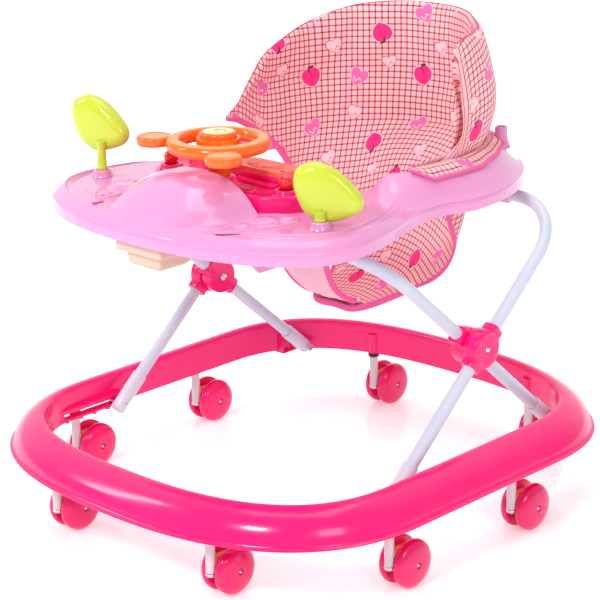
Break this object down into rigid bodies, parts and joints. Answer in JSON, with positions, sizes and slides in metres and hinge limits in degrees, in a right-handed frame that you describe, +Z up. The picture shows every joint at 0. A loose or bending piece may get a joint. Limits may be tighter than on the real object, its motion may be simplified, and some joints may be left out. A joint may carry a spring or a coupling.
{
  "type": "baby walker",
  "caption": "Baby walker: oval base ring on twin-disc swivel casters, folding scissor frame, and a toy tray with a padded fabric seat.",
  "frame": {"origin": "centre of the base ring's outline, on the floor under the casters", "axes": "-Y towards the front of the walker, +Y towards the child's back, +X towards the child's left, +Z up"},
  "size_m": [0.5846, 0.6556, 0.5596],
  "materials": {
    "base_pink": "gloss",
    "wheel_pink": "gloss",
    "tray_pale": "gloss",
    "tube_grey": "satin",
    "sleeve_white": "gloss",
    "stem_white": "satin",
    "rivet": "polished",
    "cap_dark": "matte",
    "fork_red": "satin",
    "salmon": "gloss",
    "orange": "gloss",
    "cream": "gloss",
    "button_red": "gloss",
    "lime": "gloss",
    "mirror_foil": "polished",
    "cloth": "woven",
    "binding": "woven"
  },
  "bodies": {
    "base": {"base_ring": "base_pink", "pivot_pins": "rivet", "stem_caps": "cap_dark"},
    "caster_1": {"caster_1_yoke": "fork_red", "caster_1_stem": "stem_white"},
    "wheel_1": {"caster_1_wheel": "wheel_pink"},
    "caster_2": {"caster_2_yoke": "fork_red", "caster_2_stem": "stem_white"},
    "wheel_2": {"caster_2_wheel": "wheel_pink"},
    "caster_3": {"caster_3_yoke": "fork_red", "caster_3_stem": "stem_white"},
    "wheel_3": {"caster_3_wheel": "wheel_pink"},
    "caster_4": {"caster_4_yoke": "fork_red", "caster_4_stem": "stem_white"},
    "wheel_4": {"caster_4_wheel": "wheel_pink"},
    "caster_5": {"caster_5_yoke": "fork_red", "caster_5_stem": "stem_white"},
    "wheel_5": {"caster_5_wheel": "wheel_pink"},
    "caster_6": {"caster_6_yoke": "fork_red", "caster_6_stem": "stem_white"},
    "wheel_6": {"caster_6_wheel": "wheel_pink"},
    "caster_7": {"caster_7_yoke": "fork_red", "caster_7_stem": "stem_white"},
    "wheel_7": {"caster_7_wheel": "wheel_pink"},
    "caster_8": {"caster_8_yoke": "fork_red", "caster_8_stem": "stem_white"},
    "wheel_8": {"caster_8_wheel": "wheel_pink"},
    "front_hoop": {"front_hoop_tube": "tube_grey", "front_hoop_ends": "sleeve_white", "front_hub_shells": "base_pink"},
    "rear_hoop": {"rear_hoop_tube": "tube_grey", "rear_hoop_ends": "sleeve_white", "rear_hub_shells": "base_pink", "hub_rivets": "rivet"},
    "tray": {"tray_shell": "tray_pale", "tray_hood": "tray_pale", "toy_panel": "base_pink", "speaker_grilles": "base_pink", "figure_plate": "salmon", "steering_column": "orange", "music_box": "cream", "battery_door": "cream", "seat_back": "cloth", "seat_sling": "cloth", "seat_hem": "binding"},
    "steering": {"steering_wheel": "orange"},
    "horn": {"horn_button": "cream"},
    "push_left": {"push_button_left": "button_red"},
    "push_right": {"push_button_right": "button_red"},
    "mirror_l": {"mirror_left": "lime", "mirror_left_glass": "mirror_foil"},
    "mirror_r": {"mirror_right": "lime", "mirror_right_glass": "mirror_foil"}
  },
  "joints": [
    {"name": "caster_1_swivel", "type": "hinge", "parent": "base", "child": "caster_1", "pos_m": [0.129, -0.281, 0], "axis": [0, 0, 1], "continuous": true},
    {"name": "wheel_1_spin", "type": "hinge", "parent": "caster_1", "child": "wheel_1", "pos_m": [0.129, -0.255, 0.028], "axis": [1, 0, 0], "continuous": true},
    {"name": "caster_2_swivel", "type": "hinge", "parent": "base", "child": "caster_2", "pos_m": [-0.129, -0.281, 0], "axis": [0, 0, 1], "continuous": true},
    {"name": "wheel_2_spin", "type": "hinge", "parent": "caster_2", "child": "wheel_2", "pos_m": [-0.129, -0.255, 0.028], "axis": [1, 0, 0], "continuous": true},
    {"name": "caster_3_swivel", "type": "hinge", "parent": "base", "child": "caster_3", "pos_m": [0.262, -0.14, 0], "axis": [0, 0, 1], "continuous": true},
    {"name": "wheel_3_spin", "type": "hinge", "parent": "caster_3", "child": "wheel_3", "pos_m": [0.262, -0.114, 0.028], "axis": [1, 0, 0], "continuous": true},
    {"name": "caster_4_swivel", "type": "hinge", "parent": "base", "child": "caster_4", "pos_m": [-0.262, -0.14, 0], "axis": [0, 0, 1], "continuous": true},
    {"name": "wheel_4_spin", "type": "hinge", "parent": "caster_4", "child": "wheel_4", "pos_m": [-0.262, -0.114, 0.028], "axis": [1, 0, 0], "continuous": true},
    {"name": "caster_5_swivel", "type": "hinge", "parent": "base", "child": "caster_5", "pos_m": [0.265, 0.069, 0], "axis": [0, 0, 1], "continuous": true},
    {"name": "wheel_5_spin", "type": "hinge", "parent": "caster_5", "child": "wheel_5", "pos_m": [0.265, 0.095, 0.028], "axis": [1, 0, 0], "continuous": true},
    {"name": "caster_6_swivel", "type": "hinge", "parent": "base", "child": "caster_6", "pos_m": [-0.265, 0.069, 0], "axis": [0, 0, 1], "continuous": true},
    {"name": "wheel_6_spin", "type": "hinge", "parent": "caster_6", "child": "wheel_6", "pos_m": [-0.265, 0.095, 0.028], "axis": [1, 0, 0], "continuous": true},
    {"name": "caster_7_swivel", "type": "hinge", "parent": "base", "child": "caster_7", "pos_m": [0.131, 0.273, 0], "axis": [0, 0, 1], "continuous": true},
    {"name": "wheel_7_spin", "type": "hinge", "parent": "caster_7", "child": "wheel_7", "pos_m": [0.131, 0.299, 0.028], "axis": [1, 0, 0], "continuous": true},
    {"name": "caster_8_swivel", "type": "hinge", "parent": "base", "child": "caster_8", "pos_m": [-0.131, 0.273, 0], "axis": [0, 0, 1], "continuous": true},
    {"name": "wheel_8_spin", "type": "hinge", "parent": "caster_8", "child": "wheel_8", "pos_m": [-0.131, 0.299, 0.028], "axis": [1, 0, 0], "continuous": true},
    {"name": "fold", "type": "hinge", "parent": "base", "child": "front_hoop", "pos_m": [0, 0.21597, 0.08485], "axis": [1, 0, 0], "range_deg": [0, 22.5]},
    {"name": "cross_pivot", "type": "hinge", "parent": "front_hoop", "child": "rear_hoop", "pos_m": [0, 0.0605, 0.22], "axis": [1, 0, 0], "range_deg": [-45, 0]},
    {"name": "tray_pivot", "type": "hinge", "parent": "rear_hoop", "child": "tray", "pos_m": [0, 0.21597, 0.35515], "axis": [1, 0, 0], "range_deg": [0, 22.5]},
    {"name": "steering_turn", "type": "hinge", "parent": "tray", "child": "steering", "pos_m": [0, -0.128, 0.46], "axis": [0, 0, 1], "continuous": true},
    {"name": "horn_press", "type": "slide", "parent": "steering", "child": "horn", "axis": [0, 0, -1], "range_m": [0, 0.0015], "stiffness_N_per_m": 600, "springref_m": -0.002},
    {"name": "push_left_press", "type": "slide", "parent": "tray", "child": "push_left", "axis": [0, 0, -1], "range_m": [0, 0.0025], "stiffness_N_per_m": 400, "springref_m": -0.002},
    {"name": "push_right_press", "type": "slide", "parent": "tray", "child": "push_right", "axis": [0, 0, -1], "range_m": [0, 0.0025], "stiffness_N_per_m": 400, "springref_m": -0.002},
    {"name": "mirror_l_turn", "type": "hinge", "parent": "tray", "child": "mirror_l", "pos_m": [0.175, -0.15, 0.449], "axis": [0, 0, 1], "range_deg": [-40, 40]},
    {"name": "mirror_r_turn", "type": "hinge", "parent": "tray", "child": "mirror_r", "pos_m": [-0.175, -0.15, 0.449], "axis": [0, 0, 1], "range_deg": [-40, 40]}
  ],
  "couplings": [
    {"joint": "cross_pivot", "follows": "fold", "ratio": -2},
    {"joint": "tray_pivot", "follows": "fold", "ratio": 1}
  ]
}
